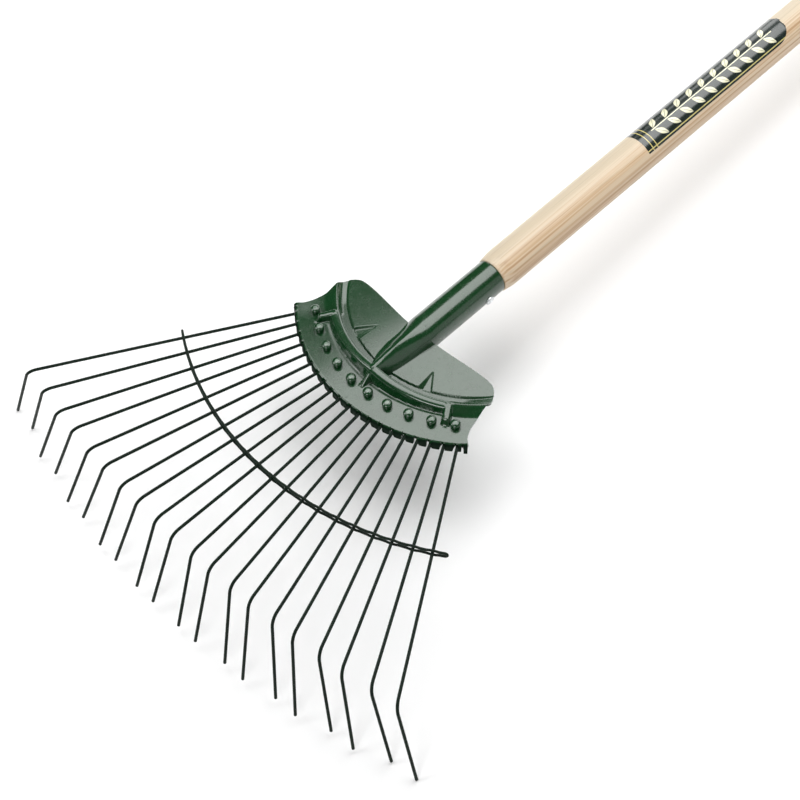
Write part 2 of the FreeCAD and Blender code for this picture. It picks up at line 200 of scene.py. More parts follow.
def tube(path, radius, sides):
    """Points and faces of a closed round tube along a path of points, with rounded ends."""
    path, radii = with_round_ends(np.asarray(path, float), radius)
    tangents = np.gradient(path, axis=0)
    tangents[0] = path[1] - path[0]
    tangents[-1] = path[-1] - path[-2]
    tangents /= np.linalg.norm(tangents, axis=1)[:, None]
    side = unit(np.cross(tangents[0], (0.31, 0.17, 0.93)))
    angles = np.linspace(0, 2 * math.pi, sides, endpoint=False)
    points = []
    for centre, tangent, ring_radius in zip(path, tangents, radii):
        side = unit(side - tangent * side.dot(tangent))
        up = np.cross(tangent, side)
        points += [centre + ring_radius * (math.cos(a) * side + math.sin(a) * up) for a in angles]
    faces = grid_faces(len(path), sides, close_columns=True)
    faces.append(tuple(range(sides)))
    faces.append(tuple(reversed(range(len(points) - sides, len(points)))))
    return points, faces


def with_round_ends(path, radius, steps=4):
    """The path and its radii, with rings added that round off both ends."""
    start, end = unit(path[0] - path[1]), unit(path[-1] - path[-2])
    before, after, small = [], [], []
    for step in range(1, steps + 1):
        turn = step / (steps + 0.6) * math.pi / 2
        before.insert(0, path[0] + start * radius * math.sin(turn) * 0.6)
        after.append(path[-1] + end * radius * math.sin(turn) * 0.6)
        small.append(radius * math.cos(turn))
    radii = np.concatenate([small[::-1], np.full(len(path), float(radius)), small])
    return np.vstack([before, path, after]), radii


def merge(parts):
    """Join several (points, faces) pairs into one."""
    points, faces = [], []
    for some_points, some_faces in parts:
        offset = len(points)
        points += [np.asarray(p, float) for p in some_points]
        faces += [tuple(offset + index for index in face) for face in some_faces]
    return points, faces


def lathe(profile, sides, base, axis, up):
    """Points and faces of a closed turned shape. The profile is (distance along the axis, radius)."""
    base, axis, up = np.array(base), unit(np.array(axis)), np.array(up)
    up = unit(up - axis * up.dot(axis))
    across = np.cross(axis, up)
    angles = np.linspace(0, 2 * math.pi, sides, endpoint=False)
    points = []
    for distance, radius in profile:
        ring = base + axis * distance
        points += [ring + radius * (math.cos(a) * up + math.sin(a) * across) for a in angles]
    faces = grid_faces(len(profile), sides, close_columns=True)
    faces.append(tuple(range(sides)))
    faces.append(tuple(reversed(range(len(points) - sides, len(points)))))
    return points, faces


def smooth_step(low, high, value):
    """0 at low, 1 at high and an S curve between them. Low may be the larger of the two."""
    t = np.clip((value - low) / (high - low), 0, 1)
    return t * t * (3 - 2 * t)


def smooth_max(a, b, blend):
    """The larger of two heights, with the corner between them rounded."""
    share = np.clip(0.5 + 0.5 * (a - b) / blend, 0, 1)
    return b + (a - b) * share + blend * share * (1 - share)


# ---------------------------------------------------------------- materials


def new_material(name):
    """A material with one Principled shader, its node tree and that shader."""
    material = bpy.data.materials.new(name)
    material.use_nodes = True
    tree = material.node_tree
    tree.nodes.clear()
    output = tree.nodes.new("ShaderNodeOutputMaterial")
    shader = tree.nodes.new("ShaderNodeBsdfPrincipled")
    tree.links.new(shader.outputs["BSDF"], output.inputs["Surface"])
    return material, tree, shader


def node(tree, kind, **values):
    item = tree.nodes.new(kind)
    for key, value in values.items():
        if key in item.inputs:
            item.inputs[key].default_value = value
        else:
            setattr(item, key, value)
    return item


def noise(tree, vector, scale, detail=4.0, roughness=0.55):
    item = node(tree, "ShaderNodeTexNoise")
    item.inputs["Scale"].default_value = scale
    item.inputs["Detail"].default_value = detail
    item.inputs["Roughness"].default_value = roughness
    tree.links.new(vector, item.inputs["Vector"])
    return item.outputs["Fac"]


def ramp(tree, factor, stops):
    item = node(tree, "ShaderNodeValToRGB")
    elements = item.color_ramp.elements
    while len(elements) < len(stops):
        elements.new(0.5)
    for element, (place, colour) in zip(elements, stops):
        element.position = place
        element.color = (*colour, 1)
    tree.links.new(factor, item.inputs["Fac"])
    return item.outputs["Color"]


def grey(value):
    return (value, value, value)


def bump(tree, height, strength, distance):
    item = node(tree, "ShaderNodeBump")
    item.inputs["Strength"].default_value = strength
    item.inputs["Distance"].default_value = distance
    tree.links.new(height, item.inputs["Height"])
    return item.outputs["Normal"]


def calc(tree, operation, *values):
    """A math node; each value is a socket or a number."""
    item = node(tree, "ShaderNodeMath", operation=operation)
    for place, value in enumerate(values):
        if isinstance(value, (int, float)):
            item.inputs[place].default_value = value
        else:
            tree.links.new(value, item.inputs[place])
    return item.outputs[0]


def inside(tree, value, edge, blur):
    """1 where a value is below an edge, with a soft border."""
    share = calc(tree, "DIVIDE", calc(tree, "SUBTRACT", edge, value), blur)
    return calc(tree, "SMOOTH_MIN", 1.0, calc(tree, "MAXIMUM", share, 0.0), 0.1)


def painted(name, base, light, roughness, coat, specular=0.5):
    """Stoved paint: slight mottling, orange peel and dulled patches."""
    material, tree, shader = new_material(name)
    place = node(tree, "ShaderNodeTexCoord").outputs["Object"]
    mottle = noise(tree, place, scale=60.0)
    colour = ramp(tree, mottle, [(0.3, base), (0.75, light)])
    tree.links.new(colour, shader.inputs["Base Color"])
    dull = noise(tree, place, scale=220.0, detail=6.0)
    rough = ramp(tree, dull, [(0.3, grey(roughness * 0.8)), (0.8, grey(roughness * 1.35))])
    tree.links.new(rough, shader.inputs["Roughness"])
    shader.inputs["Specular IOR Level"].default_value = specular
    shader.inputs["Coat Weight"].default_value = coat
    shader.inputs["Coat Roughness"].default_value = 0.12
    peel = noise(tree, place, scale=900.0, detail=2.0)
    tree.links.new(bump(tree, peel, strength=0.12, distance=0.0004), shader.inputs["Normal"])
    return material


def ash_wood():
    """Ash with fine pores. Tan grain lines run along the pole's left side; the other side is even cream."""
    material, tree, shader = new_material("ash_wood")
    place = node(tree, "ShaderNodeTexCoord").outputs["Object"]
    turn = node(tree, "ShaderNodeMapping")
    pole = Vector(frame["record"]["mounts"][0]["axis"])
    turn.inputs["Rotation"].default_value = (0, math.atan2(pole.z, pole.x), 0)
    tree.links.new(place, turn.inputs["Vector"])
    stretch = node(tree, "ShaderNodeMapping")
    stretch.inputs["Scale"].default_value = (1.2, 210.0, 210.0)
    tree.links.new(turn.outputs["Vector"], stretch.inputs["Vector"])
    grain = noise(tree, stretch.outputs["Vector"], scale=3.0, detail=5.0, roughness=0.5)
    squeeze = node(tree, "ShaderNodeMapping")
    squeeze.inputs["Scale"].default_value = (9.0, 700.0, 700.0)
    tree.links.new(turn.outputs["Vector"], squeeze.inputs["Vector"])
    fine = noise(tree, squeeze.outputs["Vector"], scale=1.0, detail=4.0, roughness=0.6)
    tones = [(0.36, (0.46, 0.29, 0.16)), (0.46, (0.60, 0.43, 0.27)), (0.56, (0.66, 0.52, 0.36))]
    lines = ramp(tree, grain, tones)
    across = node(tree, "ShaderNodeSeparateXYZ")
    tree.links.new(turn.outputs["Vector"], across.inputs["Vector"])
    share = node(tree, "ShaderNodeMapRange")
    tree.links.new(across.outputs["Y"], share.inputs["Value"])
    for name, value in (("From Min", -0.002), ("From Max", 0.008), ("To Min", 0.10), ("To Max", 1.0)):
        share.inputs[name].default_value = value
    sides = node(tree, "ShaderNodeMix", data_type="RGBA")
    sides.inputs["A"].default_value = (0.54, 0.46, 0.34, 1.0)
    tree.links.new(share.outputs["Result"], sides.inputs["Factor"])
    tree.links.new(lines, sides.inputs["B"])
    pores = ramp(tree, fine, [(0.30, grey(0.70)), (0.46, grey(1.0))])
    mix = node(tree, "ShaderNodeMix", data_type="RGBA", blend_type="MULTIPLY")
    mix.inputs["Factor"].default_value = 0.55
    tree.links.new(sides.outputs["Result"], mix.inputs["A"])
    tree.links.new(pores, mix.inputs["B"])
    tree.links.new(mix.outputs["Result"], shader.inputs["Base Color"])
    rough = ramp(tree, grain, [(0.3, grey(0.48)), (0.7, grey(0.38))])
    tree.links.new(rough, shader.inputs["Roughness"])
    shader.inputs["Coat Weight"].default_value = 0.15
    shader.inputs["Coat Roughness"].default_value = 0.3
    tree.links.new(bump(tree, fine, strength=0.25, distance=0.0003), shader.inputs["Normal"])
    return material


def zinc():
    """Bright zinc with a fine speckle."""
    material, tree, shader = new_material("bright_zinc")
    place = node(tree, "ShaderNodeTexCoord").outputs["Object"]
    speckle = noise(tree, place, scale=900.0)
    colour = ramp(tree, speckle, [(0.3, (0.62, 0.64, 0.66)), (0.7, (0.86, 0.87, 0.88))])
    tree.links.new(colour, shader.inputs["Base Color"])
    tree.links.new(ramp(tree, speckle, [(0.3, grey(0.2)), (0.7, grey(0.38))]), shader.inputs["Roughness"])
    shader.inputs["Metallic"].default_value = 1.0
    return material


def floor_material():
    """Matt white with the slightest change of tone."""
    material, tree, shader = new_material("floor_paint")
    place = node(tree, "ShaderNodeTexCoord").outputs["Object"]
    tone = ramp(tree, noise(tree, place, scale=2.0), [(0.3, grey(0.90)), (0.7, grey(0.93))])
    tree.links.new(tone, shader.inputs["Base Color"])
    shader.inputs["Roughness"].default_value = 0.9
    return material


def label_print():
    """Dark green transfer with gold pinstripes and a row of cream leaves on a stem."""
    material, tree, shader = new_material("label_print")
    place = node(tree, "ShaderNodeUVMap", uv_map="print_place").outputs["UV"]
    split = node(tree, "ShaderNodeSeparateXYZ")
    tree.links.new(place, split.inputs["Vector"])
    along = calc(tree, "MULTIPLY", split.outputs["X"], LABEL_LENGTH)
    width = 2 * LABEL_HALF_WRAP * HANDLE_RADIUS
    beside = calc(tree, "MULTIPLY", calc(tree, "SUBTRACT", split.outputs["Y"], 0.5), width)
    stem_place, stem_half, line_half = 4.5, 0.45, 0.45
    out = calc(tree, "ABSOLUTE", calc(tree, "SUBTRACT", beside, stem_place))

    leaf_pitch, leaf_lean = 13.0, math.radians(48)
    half_length, half_width, leaf_from_stem = 5.8, 2.5, 4.9
    cell = calc(tree, "SUBTRACT", calc(tree, "FRACT", calc(tree, "DIVIDE", along, leaf_pitch)), 0.5)
    cell = calc(tree, "MULTIPLY", cell, leaf_pitch)
    away = calc(tree, "SUBTRACT", out, leaf_from_stem)
    cell_long = calc(tree, "MULTIPLY", cell, math.cos(leaf_lean))
    away_long = calc(tree, "MULTIPLY", away, math.sin(leaf_lean))
    cell_short = calc(tree, "MULTIPLY", cell, math.sin(leaf_lean))
    away_short = calc(tree, "MULTIPLY", away, math.cos(leaf_lean))
    long_way = calc(tree, "ADD", cell_long, away_long)
    short_way = calc(tree, "SUBTRACT", away_short, cell_short)
    long_share = calc(tree, "ABSOLUTE", calc(tree, "DIVIDE", long_way, half_length))
    long_share = calc(tree, "POWER", long_share, 1.7)
    short_share = calc(tree, "ABSOLUTE", calc(tree, "DIVIDE", short_way, half_width))
    leaf = inside(tree, calc(tree, "ADD", long_share, short_share), 1.0, 0.15)
    vein = inside(tree, calc(tree, "ABSOLUTE", short_way), 0.22, 0.1)
    leaf = calc(tree, "MULTIPLY", leaf, calc(tree, "SUBTRACT", 1.0, calc(tree, "MULTIPLY", vein, 0.8)))
    stem = inside(tree, out, stem_half, 0.15)
    leaf = calc(tree, "MAXIMUM", leaf, stem)
    middle = calc(tree, "ABSOLUTE", calc(tree, "SUBTRACT", along, LABEL_LENGTH / 2))
    leaf = calc(tree, "MULTIPLY", leaf, inside(tree, middle, 65.0, 0.3))

    from_side = calc(tree, "SUBTRACT", calc(tree, "ABSOLUTE", beside), width / 2 - 1.9)
    side_line = calc(tree, "ABSOLUTE", from_side)
    end_line = calc(tree, "ABSOLUTE", calc(tree, "SUBTRACT", along, 5.0))
    second_line = calc(tree, "ABSOLUTE", calc(tree, "SUBTRACT", along, 9.0))
    nearest = calc(tree, "MINIMUM", calc(tree, "MINIMUM", side_line, end_line), second_line)
    line = inside(tree, nearest, line_half, 0.15)

    cloud = noise(tree, node(tree, "ShaderNodeTexCoord").outputs["Object"], 180.0, 5.0)
    ground = ramp(tree, cloud, [(0.3, (0.006, 0.013, 0.010)), (0.75, (0.012, 0.022, 0.018))])
    gold = ramp(tree, cloud, [(0.3, (0.52, 0.43, 0.14)), (0.7, (0.66, 0.58, 0.22))])
    cream = ramp(tree, cloud, [(0.3, (0.70, 0.68, 0.46)), (0.7, (0.80, 0.78, 0.58))])
    for share, colour in ((line, gold), (leaf, cream)):
        mix = node(tree, "ShaderNodeMix", data_type="RGBA")
        tree.links.new(share, mix.inputs["Factor"])
        tree.links.new(ground, mix.inputs["A"])
        tree.links.new(colour, mix.inputs["B"])
        ground = mix.outputs["Result"]
    tree.links.new(ground, shader.inputs["Base Color"])
    tree.links.new(ramp(tree, cloud, [(0.3, grey(0.2)), (0.7, grey(0.3))]), shader.inputs["Roughness"])
    shader.inputs["Coat Weight"].default_value = 0.8
    shader.inputs["Coat Roughness"].default_value = 0.15
    return material


GREEN = painted("green_paint", (0.003, 0.033, 0.007), (0.004, 0.043, 0.011), roughness=0.24, coat=0.85)
# painted highlight: a lighter grey-green on the stub tops stands in for the light they catch
RIVET_TOP_HIGHLIGHT = painted("rivet_top_painted_highlight", (0.05, 0.10, 0.06), (0.22, 0.28, 0.23), roughness=0.3, coat=0.6)
# painted shade: near-black, barely glossy paint on the folded lip stands in for its shade and dark reflections
LIP_SHADE_GREEN = painted("lip_painted_shade", (0.002, 0.010, 0.004), (0.003, 0.014, 0.006), 0.6, coat=0.0, specular=0.05)
WIRE = painted("tine_paint", (0.004, 0.010, 0.006), (0.007, 0.017, 0.010), 0.45, coat=0.0, specular=0.12)
WOOD = ash_wood()
ZINC = zinc()
LABEL = label_print()

# ---------------------------------------------------------------- fan geometry


def plan_direction(angle, dive=0.0):
    """Unit vector at a plan angle that dives below the horizontal."""
    level = math.cos(dive)
    return np.array([level * math.cos(angle), level * math.sin(angle), -math.sin(dive)])


def rivet_point(step):
    """Where a rivet's axis crosses the wires."""
    rise = (LIP_RADIUS - RIVET_CIRCLE) * math.tan(TINE_SLOPE)
    angle = step * RIVET_PITCH
    return np.array([RIVET_CIRCLE * math.cos(angle), RIVET_CIRCLE * math.sin(angle), rise])


def leg_points(step, side):
    """Tangent point at the loop, bend corner and tip of one leg; side is -1 or +1."""
    leg = plan_direction(step * PAIR_SPREAD + side * LEG_SPREAD, TINE_SLOPE)
    plan = step * PAIR_SPREAD
    across = np.array([-math.sin(plan), math.cos(plan), 0])
    lead = unit(leg - across * leg.dot(across))
    lean = math.atan2(abs(leg.dot(across)), leg.dot(lead))
    sideways = side * LOOP_RADIUS * math.cos(lean)
    tangent = rivet_point(step) + across * sideways - lead * LOOP_RADIUS * math.sin(lean)
    share = (2 * step + side / 2) / (PAIRS - 0.5)
    bend = tangent + leg * (MIDDLE_REACH + (OUTER_REACH - MIDDLE_REACH) * share * share)
    tip = bend + plan_direction(plan * HOOK_FLARE, HOOK_DIVE) * HOOK_LENGTH
    return tangent, bend, tip


def lip_crossing(step, side):
    """Plan angle where a leg passes the folded lip."""
    tangent, bend, _ = leg_points(step, side)
    reach = np.linspace(0, 1, 4000)[:, None]
    line = tangent + (bend - tangent) * reach
    nearest = np.argmin(np.abs(np.hypot(line[:, 0], line[:, 1]) - LIP_RADIUS))
    return math.atan2(line[nearest, 1], line[nearest, 0])


def arc_between(before, corner, after, radius, steps):
    """Points of the arc that rounds a corner."""
    inward, outward = unit(before - corner), unit(after - corner)
    half_turn = (math.pi - math.acos(np.clip(inward.dot(outward), -1, 1))) / 2
    middle = unit(inward + outward)
    centre = corner + middle * (radius / math.cos(half_turn))
    toward = -middle
    across = unit(outward - middle * outward.dot(middle))
    angles = np.linspace(-half_turn, half_turn, steps)
    return [centre + radius * (math.cos(a) * toward + math.sin(a) * across) for a in angles]


def between(start, end, steps):
    """Points strictly between two ends."""
    return [start + (end - start) * share for share in np.linspace(0, 1, steps + 2)[1:-1]]


def leg_path(step, side):
    """From the loop's tangent point to the tip."""
    tangent, bend, tip = leg_points(step, side)
    arc = arc_between(tangent, bend, tip, BEND_RADIUS, 12)
    return [tangent, *between(tangent, arc[0], 30), *arc, *between(arc[-1], tip, 6), tip]


def loop_path(step):
    """The half turn behind the rivet, from the right leg to the left leg."""
    right, left = leg_points(step, -1)[0], leg_points(step, 1)[0]
    centre = rivet_point(step)
    lead = unit((leg_points(step, -1)[1] - right) + (leg_points(step, 1)[1] - left))
    across = unit(left - right)
    start = math.asin(np.clip((right - centre).dot(lead) / LOOP_RADIUS, -1, 1))
    angles = np.linspace(start, -math.pi - start, 20)[1:-1]
    return [centre + LOOP_RADIUS * (math.sin(a) * lead - math.cos(a) * across) for a in angles]


STEPS = [pair - (PAIRS - 1) / 2 for pair in range(PAIRS)]

# ---------------------------------------------------------------- pressed head

# heights above the wires, and radii from the centre of the fan
WING_AT_STEP = 7.0
WING_SLOPE = 0.065
GROOVE_FLOOR = 5.3
SHELF_END = 90.6
SHELF_RISE = 1.2
DART_DEPTH = 2.3
DART_TIP = 69.5
DART_HALF = 5.2
DART_ANGLE = math.radians(22.4)
STEP_RADIUS = 85.9
HOOK_ANGLE = 34.6  # degrees to each side
HOOK_HALF = 3.2
HOOK_REACH = 14.5
FAR_BELOW = -20.0
CREST_RADIUS = 95.2
BEAD_BEHIND = 3.9
BEAD_AHEAD = 4.4
BEAD_POWER = 7.0
CROWN_RADIUS = 6.0
VALLEY_RADIUS = 100.3
VALLEY_DEPTH = 0.35
OUTER_CREST_RADIUS = 93.2
OUTER_CREST = 9.6
CREST_CENTRE = 15.6
CREST_AT_HOOK = 10.4
BEND_START = 119.8
BEND_OUTSIDE = 2.8
LIP_DROP = 4.4
SLOT_HALF = 1.4
TAB_WIDTH = 2.6
TAB_GAP = 1.3
TAB_EXTRA = 2.0
SPINE_START = 49.5
PLATE_ROWS = 150
PLATE_COLUMNS = 441
LIP_ROWS = 14

# plan points of the left side edge, from the rear edge round the wing's corner to the front corner
SIDE_EDGE = [
    (45.1, 57.0),
    (45.6, 62.0),
    (47.6, 65.6),
    (51.0, 68.7),
    (55.0, 70.8),
    (60.0, 71.7),
    (67.5, 72.5),
    (75.0, 74.0),
    (80.0, 75.6),
    (85.0, 78.2),
    (88.0, 81.3),
]


def curve_through(points, places):
    """Catmull-Rom curve through plan points, at places from 0 to 1."""
    points = np.array(points, float)
    padded = np.vstack([2 * points[0] - points[1], points, 2 * points[-1] - points[-2]])
    lengths = np.concatenate([[0], np.cumsum(np.linalg.norm(np.diff(points, axis=0), axis=1))])
    lengths /= lengths[-1]
    result = []
    for place in places:
        index = min(int(np.searchsorted(lengths, place, side="right")) - 1, len(points) - 2)
        t = (place - lengths[index]) / (lengths[index + 1] - lengths[index])
        a, b, c, d = padded[index : index + 4]
        square, cube = (2 * a - 5 * b + 4 * c - d) * t**2, (3 * b - a - 3 * c + d) * t**3
        result.append(0.5 * (2 * b + (c - a) * t + square + cube))
    return np.array(result)


def tube_top(x):
    """Height of the socket's top line over a plan x."""
    return MOUTH.z - (x - MOUTH.x) * math.tan(SOCKET_TILT) + SOCKET_RADIUS / math.cos(SOCKET_TILT)


def spine_height(x, y):
    """The domed end of the socket, which narrows to a crest and runs down to the flange."""
    start, end = tube_top(48), tube_top(57)
    top = np.interp(x, [48, 57, 72, 84, 96, 106.5, 109], [start, end, 19.4, 17.6, 15.6, 5.2, 2.6])
    half = np.interp(
        x, [48, 51, 57, 70, 80, 86, 91, 96, 107], [12.5, 12.4, 11.5, 10.2, 8.9, 7.4, 5.2, 3.0, 1.9]
    )
    swell = np.interp(x, [60, 70, 84, 92], [1.0, 1.13, 1.13, 1.0])
    half = np.where(y < 0, half * swell, half)
    power = np.interp(x, [48, 56, 64, 76, 86, 93, 100], [2.0, 1.85, 1.55, 1.35, 1.5, 2.3, 2.0])
    floor = np.interp(x, [48, 96, 106.5, 109], [start - SOCKET_RADIUS, 6.5, 3.2, 0.6])
    share = np.abs(y) / half
    inside = np.clip(1 - np.minimum(share, 1) ** power, 0, 1) ** (1 / power)
    return floor + (top - floor) * inside - 4.0 * half * np.maximum(share - 1, 0)


def dart_depth(x, y):
    """Share of the gusset's depth behind the step: a sloped wall toward the middle, a steep one outside."""
    radius, angle = np.hypot(x, y), np.abs(np.arctan2(y, x))
    run = np.clip((radius - DART_TIP) / (STEP_RADIUS - DART_TIP), 0, 1)
    across = radius * (angle - DART_ANGLE)
    inner_wall = np.clip((across + run * DART_HALF) / (0.2 + 3.6 * run), 0, 1)
    outer_wall = smooth_step(0, 1.1, run * DART_HALF - across)
    return np.minimum(inner_wall, outer_wall) * smooth_step(0, 0.2, run) * (0.3 + 0.7 * run)


def rounded(share, power):
    """Round-topped profile: 1 in the middle, 0 at a share of 1 and beyond."""
    return (1 - np.minimum(np.abs(share), 1) ** power) ** 0.85


def pressing_height(x, y):
    """Height of the sheet's upper side over a plan point."""
    radius = np.hypot(x, y)
    side = np.degrees(np.abs(np.arctan2(y, x)))

    # flange, raised a little at its outer ends, with a shallow valley at the foot of the crest
    flange = (LIP_RADIUS - radius) * math.tan(TINE_SLOPE) + FLANGE_TOP
    flange = flange + 0.8 * smooth_step(36, 45, side) * smooth_step(100, 119, radius)
    inner = smooth_step(HOOK_ANGLE + 2.4, HOOK_ANGLE - 0.6, side)
    flange = flange - VALLEY_DEPTH * inner * np.exp(-(((radius - VALLEY_RADIUS) / 1.3) ** 2))

    # wing with its gussets, down a step to the shelf behind the crest
    wing = WING_AT_STEP + (STEP_RADIUS - radius) * WING_SLOPE
    behind = wing - DART_DEPTH * dart_depth(x, y)
    groove = smooth_step(STEP_RADIUS - 0.5, STEP_RADIUS + 0.35, radius)
    floor = GROOVE_FLOOR + SHELF_RISE * smooth_step(56.0, 73.0, np.abs(y))
    level = behind + (floor - behind) * groove

    # crest between the hooked ends
    crest_top = CREST_AT_HOOK + (CREST_CENTRE - CREST_AT_HOOK) * np.clip(1 - side / HOOK_ANGLE, 0, 1) ** 1.5
    foot = np.where(radius < CREST_RADIUS, floor, flange)
    reach = np.where(radius < CREST_RADIUS, BEAD_BEHIND, BEAD_AHEAD)
    off_crest = radius - CREST_RADIUS
    crown = crest_top - off_crest**2 / (2 * CROWN_RADIUS)
    bead = foot + (crown - foot) * rounded(off_crest / reach, BEAD_POWER)

    # outside the hooked ends the shelf rises to a ridge that slopes down to the flange
    rise = smooth_step(SHELF_END - 1.4, OUTER_CREST_RADIUS + 0.8, radius)
    ridge = floor + (OUTER_CREST - floor) * rise
    slope = flange + (OUTER_CREST - flange) * (1 - smooth_step(OUTER_CREST_RADIUS - 1.0, 102.0, radius))
    ridge = np.minimum(ridge, slope)
    height = np.where(radius < STEP_RADIUS + 0.35, level, ridge + (bead - ridge) * inner)

    # hooked ends of the crest, which run forward over the flange
    along = radius - CREST_RADIUS
    across = np.radians(side - HOOK_ANGLE) * radius
    hook_top = CREST_AT_HOOK - 1.4 * smooth_step(0, 10, along)
    hook_top = flange + (hook_top - flange) * smooth_step(HOOK_REACH, HOOK_REACH - 4, along)
    hook_top = hook_top - across**2 / (2 * CROWN_RADIUS)
    hook = flange - 1 + (hook_top - flange + 1) * rounded(across / HOOK_HALF, BEAD_POWER)
    hook = np.where((along > -0.5) & (along < HOOK_REACH + 0.5), hook, FAR_BELOW)
    height = smooth_max(height, hook, 0.9)
    return smooth_max(height, spine_height(x, y), 1.0)


def plate_plan():
    """Plan points of the pressing as a grid, from the rear edge to the start of the lip bend."""
    places = np.linspace(0, 1, PLATE_ROWS)
    edge = curve_through(SIDE_EDGE, places)
    share = np.linspace(-1, 1, PLATE_COLUMNS)
    grid = np.zeros((PLATE_ROWS, PLATE_COLUMNS, 2))
    for index, place in enumerate(places):
        centre = SPINE_START + (BEND_START - SPINE_START) * place
        sweep = smooth_step(0.2, 1.0, np.abs(share))
        straight_x = centre + (edge[index, 0] - centre) * (0.3 * np.abs(share) + 0.7 * sweep)
        straight_y = edge[index, 1] * share
        edge_radius, edge_angle = np.hypot(*edge[index]), math.atan2(edge[index, 1], edge[index, 0])
        radius = centre + (edge_radius - centre) * share**2
        angle = edge_angle * share
        mix = smooth_step(0, 0.45, place)
        grid[index, :, 0] = straight_x + (radius * np.cos(angle) - straight_x) * mix
        grid[index, :, 1] = straight_y + (radius * np.sin(angle) - straight_y) * mix
    return grid


def lip_length(angles):
    """Length of the folded lip below the bend's start: tapered lobes between narrow slots for the wires."""
    quarter = BEND_OUTSIDE * math.pi / 2
    notch = BEND_OUTSIDE * 0.4
    slots = np.array(sorted(lip_crossing(step, side) for step in STEPS for side in (-1, 1)))
    bounds = np.concatenate([[-CORNER_ANGLE], slots, [CORNER_ANGLE]])
    lengths = np.zeros(len(angles))
    for low, high in zip(bounds, bounds[1:]):
        inside = (angles >= low) & (angles <= high)
        share = np.abs((angles[inside] - (low + high) / 2) / ((high - low) / 2))
        lengths[inside] = quarter + LIP_DROP * (1 - 0.35 * share**5)
    gap = np.min(np.abs(angles[:, None] - slots[None, :]), axis=1) * LIP_RADIUS
    lengths = notch + (lengths - notch) * smooth_step(SLOT_HALF, SLOT_HALF + 0.5, gap)
    from_corner = (CORNER_ANGLE - np.abs(angles)) * LIP_RADIUS
    lengths = np.where(from_corner < TAB_WIDTH + TAB_GAP, notch, lengths)
    return np.where(from_corner < TAB_WIDTH, quarter + LIP_DROP + TAB_EXTRA, lengths)


def lip_rows(last_row):
    """Rows of the folded lip, continuing the plate's last row of points."""
    angles = np.arctan2(last_row[:, 1], last_row[:, 0])
    angles = angles * CORNER_ANGLE / np.max(angles)
    lengths = lip_length(angles)
    rows = []
    quarter = BEND_OUTSIDE * math.pi / 2
    for step in range(1, LIP_ROWS + 1):
        run = lengths * step / LIP_ROWS
        turn = np.minimum(run, quarter) / BEND_OUTSIDE
        outward = BEND_OUTSIDE * np.sin(turn)
        down = BEND_OUTSIDE * (1 - np.cos(turn)) + np.maximum(run - quarter, 0)
        radial = np.stack([np.cos(angles), np.sin(angles), np.zeros_like(angles)], axis=1)
        rows.append(last_row + radial * outward[:, None] - np.array([0, 0, 1.0]) * down[:, None])
    return np.array(rows)


def blurred(grid, rounds):
    """Even out a grid of points, keeping its outline."""
    grid = grid.copy()
    for _ in range(rounds):
        inner = grid[1:-1, 1:-1]
        around = grid[:-2, 1:-1] + grid[2:, 1:-1] + grid[1:-1, :-2] + grid[1:-1, 2:]
        grid[1:-1, 1:-1] = 0.5 * inner + 0.125 * around
    return grid


def grid_normals(grid):
    """Unit normals of a grid of points, turned upward."""
    down_rows = np.gradient(grid, axis=0)
    along_columns = np.gradient(grid, axis=1)
    normals = np.cross(down_rows, along_columns)
    normals /= np.maximum(np.linalg.norm(normals, axis=2), 1e-9)[:, :, None]
    return np.where(normals[:, :, 2:3] < -0.2, -normals, normals)


def sheet_shell(top, thickness):
    """Closed shell under a grid of points: upper side, lower side and rim."""
    soft = blurred(top, 6)
    bottom = soft - grid_normals(soft) * thickness
    rows, columns = top.shape[:2]
    points = [*top.reshape(-1, 3), *bottom.reshape(-1, 3)]
    upper = grid_faces(rows, columns)
    lower = [tuple(reversed(face)) for face in grid_faces(rows, columns, rows * columns)]
    ring = outline(rows, columns)
    rim = [(a, a + rows * columns, b + rows * columns, b) for a, b in zip(ring, ring[1:] + ring[:1])]
    return points, upper + lower + rim


def make_plate():
    """The pressed plate and its folded lip as one closed shell."""
    plan = plate_plan()
    heights = pressing_height(plan[:, :, 0], plan[:, :, 1])
    plate = np.concatenate([plan, heights[:, :, None]], axis=2)
    return sheet_shell(np.concatenate([plate, lip_rows(plate[-1])]), SHEET)


def make_socket():
    """Rolled socket: an open tube whose seam runs along the underside."""
    outside = [(0.0, SOCKET_RADIUS - 0.35), (0.35, SOCKET_RADIUS)]
    outside += [(d, SOCKET_RADIUS) for d in np.linspace(1, SOCKET_RUN - 2.4, 12)]
    outside += [(SOCKET_RUN, SOCKET_RADIUS - 0.55)]
    inner = SOCKET_RADIUS - SHEET
    inside = [(SOCKET_RUN, inner), *[(d, inner) for d in np.linspace(SOCKET_RUN - 2, 2, 6)], (0.0, inner)]
    section = outside + inside
    forward = -np.array(SOCKET_AXIS)
    across = np.array([0.0, 1.0, 0.0])
    down = np.cross(across, forward)
    angles = np.linspace(SEAM_HALF_GAP, 2 * math.pi - SEAM_HALF_GAP, 97)
    points = []
    for angle in angles:
        radial = math.cos(angle) * down + math.sin(angle) * across
        points += [np.array(MOUTH) + forward * d + radial * r for d, r in section]
    faces = grid_faces(len(angles), len(section), close_columns=True)
    faces.append(tuple(range(len(section))))
    faces.append(tuple(reversed(range(len(points) - len(section), len(points)))))
    return points, faces


def paint_lip_shade(head):
    """Painted shade: the folded lip takes a near-black, barely glossy paint that stands in for its shade and dark
    reflections.
    """
    fold = BEND_START + 0.6 * BEND_OUTSIDE
    to_head = TO_ROW.inverted()
    for face in head.data.polygons:
        centre = to_head @ face.center
        if math.hypot(centre.x, centre.y) > fold:
            face.material_index = 1


def build_head():
    points, faces = merge([make_plate(), make_socket()])
    head = make_object("head_shell", points, faces, GREEN, 50)
    head.data.materials.append(LIP_SHADE_GREEN)
    paint_lip_shade(head)
    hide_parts("head_pressing")
    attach(head, "rake_body")


# ---------------------------------------------------------------- rivets, wires and brace


